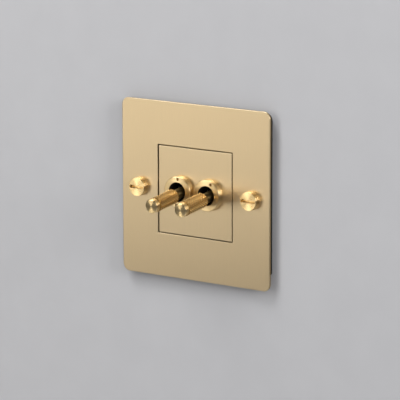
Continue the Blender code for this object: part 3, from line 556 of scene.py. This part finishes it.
def make_screw(side):
    low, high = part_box(f"coin_screw_{side}")
    plate_low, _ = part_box("face_plate")
    x, z = centre_xz(low, high)
    radius = (high.x - low.x) / 2
    seat = plate_low.y - low.y - SEAT_GAP
    end = high.y - low.y
    groove = SCREW_GROOVE_AT
    groove_end = groove + SCREW_GROOVE_WIDTH
    groove_floor = radius - SCREW_GROOVE_DEPTH
    profile = [(0, 0), (radius - SCREW_EDGE, 0), (radius - SCREW_RIM_INSET, SCREW_RIM_DROP)]
    profile += [(radius, SCREW_EDGE), (radius, groove - SCREW_GROOVE_EDGE)]
    profile += [(groove_floor, groove), (groove_floor, groove_end)]
    profile += [(radius, groove_end + SCREW_GROOVE_EDGE), (radius, seat - SCREW_EDGE)]
    profile += [(radius - SCREW_EDGE, seat), (SCREW_SHANK, seat)]
    profile += thread_profile(SCREW_SHANK, seat + SCREW_PLAIN, end - SCREW_POINT)
    profile += [(SCREW_SHANK - SCREW_POINT_TAPER, end), (0, end)]
    bm = bmesh.new()
    add_turned(bm, profile, 64)
    screw = mesh_piece(f"slotted_screw_{side}", bm, screw_brass)
    screw.location = (x, low.y, z)
    bpy.context.view_layer.update()
    half = SCREW_SLOT_WIDTH / 2
    bm = bmesh.new()
    add_box(bm, (-SCREW_SLOT_HALF, -MM, -half), (SCREW_SLOT_HALF, SCREW_SLOT_DEPTH, half))
    cut(screw, bm)
    take_place(screw, "switch_body", "turned_brass", f"coin_screw_{side}")


def make_bush(side):
    low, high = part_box(f"bush_{side}")
    plate_low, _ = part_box("insert_plate")
    x, z = centre_xz(low, high)
    radius = (high.x - low.x) / 2
    seat = plate_low.y - low.y - SEAT_GAP
    end = high.y - low.y
    edge = BUSH_EDGE
    profile = [(BUSH_BORE, BUSH_BORE_EDGE), (BUSH_BORE + BUSH_BORE_EDGE, 0), (radius - edge, 0)]
    profile += [(radius - 0.3 * edge, 0.25 * edge), (radius, edge), (radius, seat - BUSH_SEAT_EDGE)]
    profile += [(radius - BUSH_SEAT_EDGE, seat), (BUSH_SHANK, seat), (BUSH_SHANK, end)]
    profile += [(BUSH_BORE, end)]
    bm = bmesh.new()
    add_turned(bm, profile, 128, closed=True)
    bush = mesh_piece(f"flanged_bush_{side}", bm, bush_brass)
    bush.location = (x, low.y, z)
    bpy.context.view_layer.update()
    bm = bmesh.new()
    for turn in (0.0, 180.0):
        angle = math.radians(SPANNER_ANGLE[side] + turn)
        hole_x = SPANNER_CIRCLE * math.sin(angle)
        hole_z = SPANNER_CIRCLE * math.cos(angle)
        add_cylinder(bm, (hole_x, -MM, hole_z), (hole_x, SPANNER_DEPTH, hole_z), SPANNER_HOLE, 32)
    cut(bush, bm)
    bush.data.materials.append(frame_black)
    for face in bush.data.polygons:
        inside = math.hypot(face.center.x, face.center.z) < BUSH_BORE + BORE_WALL
        if inside and face.center.y > BUSH_BORE_EDGE:
            face.material_index = 1
    take_place(bush, "switch_body", "turned_brass", f"bush_{side}")


def triangle_wave(value):
    """1 at whole numbers and 0 half way between them."""
    return abs(2 * (value - math.floor(value)) - 1)


def add_knurl(bm, start, end):
    """A closed sleeve round the Y axis, whose outside is cut with crossing grooves."""
    around = GRIP_DIAMONDS * GRIP_STEPS
    rows = round((end - start) / (GRIP_PITCH / GRIP_STEPS))
    rings = []
    for row in range(rows + 1):
        y = start + (end - start) * row / rows
        inset = max(0.0, GRIP_EDGE - min(y - start, end - y))
        ring = []
        for column in range(around):
            turn = column / around * GRIP_DIAMONDS
            along = (y - start) / GRIP_PITCH
            height = min(triangle_wave(turn + along), triangle_wave(turn - along))
            height = min(height, GRIP_TOP) / GRIP_TOP
            radius = GRIP_RADIUS - GRIP_DEPTH * (1 - height)
            radius = min(radius, GRIP_RADIUS - inset)
            angle = 2 * math.pi * column / around
            ring.append(bm.verts.new((radius * math.cos(angle), y, radius * math.sin(angle))))
        rings.append(ring)
    for y in (end, start):
        angles = [2 * math.pi * column / around for column in range(around)]
        radius = LEVER_CORE + CORE_STEP
        rings.append([bm.verts.new((radius * math.cos(a), y, radius * math.sin(a))) for a in angles])
    rings.append(rings[0])
    for ring, following in zip(rings, rings[1:]):
        for column in range(around):
            after = (column + 1) % around
            bm.faces.new((ring[column], ring[after], following[after], following[column]))


def lever_tilt(side):
    """How far the lever's front points down at rest, from the way its plunger slides."""
    _, y, z = JOINTS[f"plunger_{side}_slide"]["axis"]
    return math.atan2(-z, -y)


def make_lever(side):
    tip = -LEVER_REACH
    collar_end = tip + LEVER_COLLAR_LENGTH
    grip_end = tip + GRIP_END
    profile = [(0, tip), (LEVER_FACE, tip), (LEVER_FACE + LEVER_FACE_EDGE, tip + LEVER_FACE_DROP)]
    profile += [(LEVER_COLLAR, tip + LEVER_CHAMFER), (LEVER_COLLAR, collar_end - LEVER_COLLAR_EDGE)]
    profile += [(LEVER_COLLAR - LEVER_COLLAR_EDGE, collar_end), (LEVER_CORE, collar_end)]
    profile += [(LEVER_CORE, grip_end), (LEVER_CORE - CORE_STEP, grip_end + CORE_STEP_LENGTH)]
    profile += [(LEVER_NECK, tip + LEVER_NECK_START), (LEVER_NECK, -LEVER_END)]
    profile += [(LEVER_STUB, -LEVER_END), (LEVER_STUB, -LEVER_STUB_END), (0, -LEVER_STUB_END)]
    bm = bmesh.new()
    add_turned(bm, profile)
    stem = mesh_piece(f"lever_stem_{side}", bm, lever_brass)
    # The neck behind the grip takes the darker look, painted shade of the bore
    stem.data.materials.append(shaded_neck_brass)
    for face in stem.data.polygons:
        face.material_index = int(face.center.y > grip_end)
    bm = bmesh.new()
    add_knurl(bm, tip + GRIP_START, grip_end)
    grip = mesh_piece(f"knurled_grip_{side}", bm, knurl_brass)
    # Faces deep in the grooves take the dark look, painted shade
    grip.data.materials.append(groove_shade_brass)
    for face in grip.data.polygons:
        radius = math.hypot(face.center.x, face.center.z)
        face.material_index = int(radius < GRIP_RADIUS - GRIP_SHADE_SHARE * GRIP_DEPTH)
    for piece in (stem, grip):
        piece.location = JOINTS[f"lever_{side}_tilt"]["pos_m"]
        piece.rotation_euler = (lever_tilt(side), 0, 0)
    take_place(stem, f"{side}_lever", "turned_brass", f"lever_{side}")
    take_place(grip, f"{side}_lever", "turned_brass")


def moulded_recesses(node_name):
    """Boxes that the moulding leaves shallow recesses for, as (lowest corner, highest corner)."""
    low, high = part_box(node_name)
    depth = RECESS_DEPTH
    if node_name.startswith("housing"):
        spans = ((low.x - MM, low.x + depth), (high.x - depth, high.x + MM))
        starts = (-(1 + RECESS_SPACE) * RECESS_HEIGHT, RECESS_SPACE * RECESS_HEIGHT)
        return [((x0, low.y + RECESS_RIM, z0), (x1, high.y - RECESS_RIM, z0 + RECESS_HEIGHT))
                for x0, x1 in spans for z0 in starts]
    if node_name.startswith("terminal_base"):
        return [((low.x - MM, high.y - depth, z - depth), (high.x + MM, high.y + MM, z + depth))
                for z in (-RIB_Z, RIB_Z)]
    return []


def make_softened(node_name, piece_name, look, edge):
    """A copy of a moulded or pressed CAD node with rounded edges, which takes its place."""
    node = frame["nodes"][node_name]
    body = next(name for name, empty in frame["bodies"].items() if empty is node.parent)
    bm = bmesh.new()
    bm.from_mesh(node.data)
    bmesh.ops.remove_doubles(bm, verts=bm.verts, dist=0.002 * MM)
    bmesh.ops.dissolve_limit(bm, angle_limit=math.radians(0.5), verts=bm.verts, edges=bm.edges)
    piece = mesh_piece(piece_name, bm, look)
    recesses = moulded_recesses(node_name)
    if recesses:
        bm = bmesh.new()
        for corners in recesses:
            add_box(bm, *corners)
        cut(piece, bm)
    piece.modifiers.clear()
    bevel = piece.modifiers.new("edge", "BEVEL")
    bevel.width = edge
    bevel.segments = BEVEL_SEGMENTS
    bevel.limit_method = "ANGLE"
    bevel.angle_limit = math.radians(BEVEL_ANGLE)
    apply_modifiers(piece)
    take_place(piece, body, SLOTS[node_name], node_name)


def make_softened_pieces():
    softened = {
        "back_frame": (frame_black, FRAME_EDGE),
        "mounting_bridge": (bridge_steel, PRESSED_EDGE),
        "clamp_plate": (terminal_brass, PRESSED_EDGE),
        "earth_tab": (terminal_brass, PRESSED_EDGE),
    }
    for side_name in SIDES:
        softened[f"housing_{side_name}"] = (phenolic, CASE_EDGE)
        softened[f"terminal_base_{side_name}"] = (phenolic, CASE_EDGE)
        softened[f"dolly_{side_name}"] = (phenolic, PRESSED_EDGE)
        for part in ("common", "upper", "lower"):
            softened[f"terminal_{part}_{side_name}"] = (terminal_brass, TERMINAL_EDGE)
    for node_name, (look, edge) in softened.items():
        make_softened(node_name, f"{node_name}_rounded", look, edge)


def make_spring(side):
    """The over-centre spring, a copy of the CAD node that moves with its lever. The real spring
    shortens as the plunger moves into the dolly's tail.
    """
    node = frame["nodes"][f"plunger_spring_{side}"]
    bm = bmesh.new()
    bm.from_mesh(node.data)
    bmesh.ops.remove_doubles(bm, verts=bm.verts, dist=0.001 * MM)
    spring = mesh_piece(f"coil_spring_{side}", bm, zinc_steel, SPRING_SHARP_ANGLE)
    take_place(spring, f"{side}_lever", SLOTS[node.name], node.name)
    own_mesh(spring)


def dress_cad_nodes():
    """Gives every CAD node that stays its own material."""
    looks = {
        "black_frame": frame_black,
        "black_phenolic": phenolic,
        "white_nylon": nylon,
        "steel": zinc_steel,
        "silver_contact": silver,
        "terminal_brass": terminal_brass,
        "turned_brass": lever_brass,
        "plate_brass": plate_brass,
    }
    for name, slot in SLOTS.items():
        node = frame["nodes"][name]
        node.data.materials.clear()
        node.data.materials.append(looks[slot])


# ---------------------------------------------------------------- stage, lights and camera

WALL_SIDE = 300 * MM
WALL_HOLE = 72 * MM
WALL_HOLE_CORNER = 6 * MM
WALL_THICK = 1.0 * MM
WALL_EDGE = 0.05 * MM
WALL_GAP = 0.02 * MM
FLOOR_Z = -800 * MM
FLOOR_SIDE = 16.0
PAINT = (0.64, 0.64, 0.66)
PAINT_SPREAD = 0.01
LIGHT_DISTANCE = 1.2
WORLD_STRENGTH = 0.12
WARM = (1.0, 0.95, 0.85)


def make_stage():
    paint, tree, shader = new_material("wall_paint", PAINT, 0.8, 0.0)
    fac = noise_field(tree, 60.0, (1, 1, 1))
    darker = tuple(channel - PAINT_SPREAD for channel in PAINT)
    lighter = tuple(channel + PAINT_SPREAD for channel in PAINT)
    vary_colour(tree, shader, fac, darker, lighter)
    rim = square_shape(0, WALL_SIDE, WALL_EDGE * 2, WALL_EDGE, 2)
    hole = square_shape(0, WALL_HOLE, WALL_HOLE_CORNER, WALL_EDGE, 4)
    wall = plate_with_holes("wall_panel", rim, [hole], WALL_GAP, WALL_GAP + WALL_THICK, paint)
    bpy.ops.mesh.primitive_plane_add(size=FLOOR_SIDE, location=(0, 0, FLOOR_Z))
    floor = bpy.context.object
    floor.name = "pale_floor"
    floor.data.materials.append(paint)


def softbox(name, azimuth, elevation, width, height, power, colour=(1, 1, 1)):
    """An area light that faces the switch, from a direction in degrees. Azimuth 0 is in front."""
    light = bpy.data.lights.new(name, "AREA")
    light.shape = "RECTANGLE"
    light.size = width
    light.size_y = height
    light.energy = power
    light.color = colour
    lamp = link(bpy.data.objects.new(name, light))
    flat = math.cos(math.radians(elevation))
    away = Vector((
        math.sin(math.radians(azimuth)) * flat,
        -math.cos(math.radians(azimuth)) * flat,
        math.sin(math.radians(elevation)),
    ))
    lamp.location = away * LIGHT_DISTANCE
    lamp.rotation_euler = (-away).to_track_quat("-Z", "Y").to_euler()


def make_lights():
    softbox("left_strip", -42, 32, 0.36, 1.0, 4.2)
    softbox("low_strip", -35, -3.5, 0.45, 0.42, 1.7, WARM)
    softbox("front_fill", 52, 30, 0.5, 0.5, 1.6)
    softbox("right_fill", 76, 16, 0.3, 0.5, 7.0)
    softbox("top_fill", -30, 64, 0.5, 0.35, 6.5)
    softbox("rear_key", 146, 33, 0.6, 0.6, 12.0)
    softbox("rear_fill", -135, 10, 0.6, 0.6, 5.0)
    world = bpy.data.worlds.new("studio")
    world.use_nodes = True
    world.node_tree.nodes["Background"].inputs["Color"].default_value = (0.95, 0.97, 1.0, 1.0)
    world.node_tree.nodes["Background"].inputs["Strength"].default_value = WORLD_STRENGTH
    bpy.context.scene.world = world
    bpy.context.scene.view_settings.view_transform = "Standard"


def make_camera():
    plate_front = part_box("face_plate")[0].y
    target = Vector((CAMERA_TARGET_X, plate_front, CAMERA_TARGET_Z))
    flat = math.cos(CAMERA_ELEVATION)
    back = Vector((
        math.sin(CAMERA_AZIMUTH) * flat,
        -math.cos(CAMERA_AZIMUTH) * flat,
        math.sin(CAMERA_ELEVATION),
    ))
    data = bpy.data.cameras.new("camera")
    data.lens = CAMERA_LENS
    data.sensor_width = 36.0
    data.clip_start = 0.05
    data.clip_end = 20.0
    camera = link(bpy.data.objects.new("camera", data))
    camera.location = target + back * CAMERA_DISTANCE
    camera.rotation_mode = "QUATERNION"
    camera.rotation_quaternion = Quaternion(back, CAMERA_ROLL) @ (-back).to_track_quat("-Z", "Y")
    bpy.context.scene.camera = camera


make_camera()
dress_cad_nodes()
make_plates()
make_softened_pieces()
make_small_screws()
for side in SIDES:
    make_screw(side)
    make_bush(side)
    make_lever(side)
    make_spring(side)
make_stage()
make_lights()
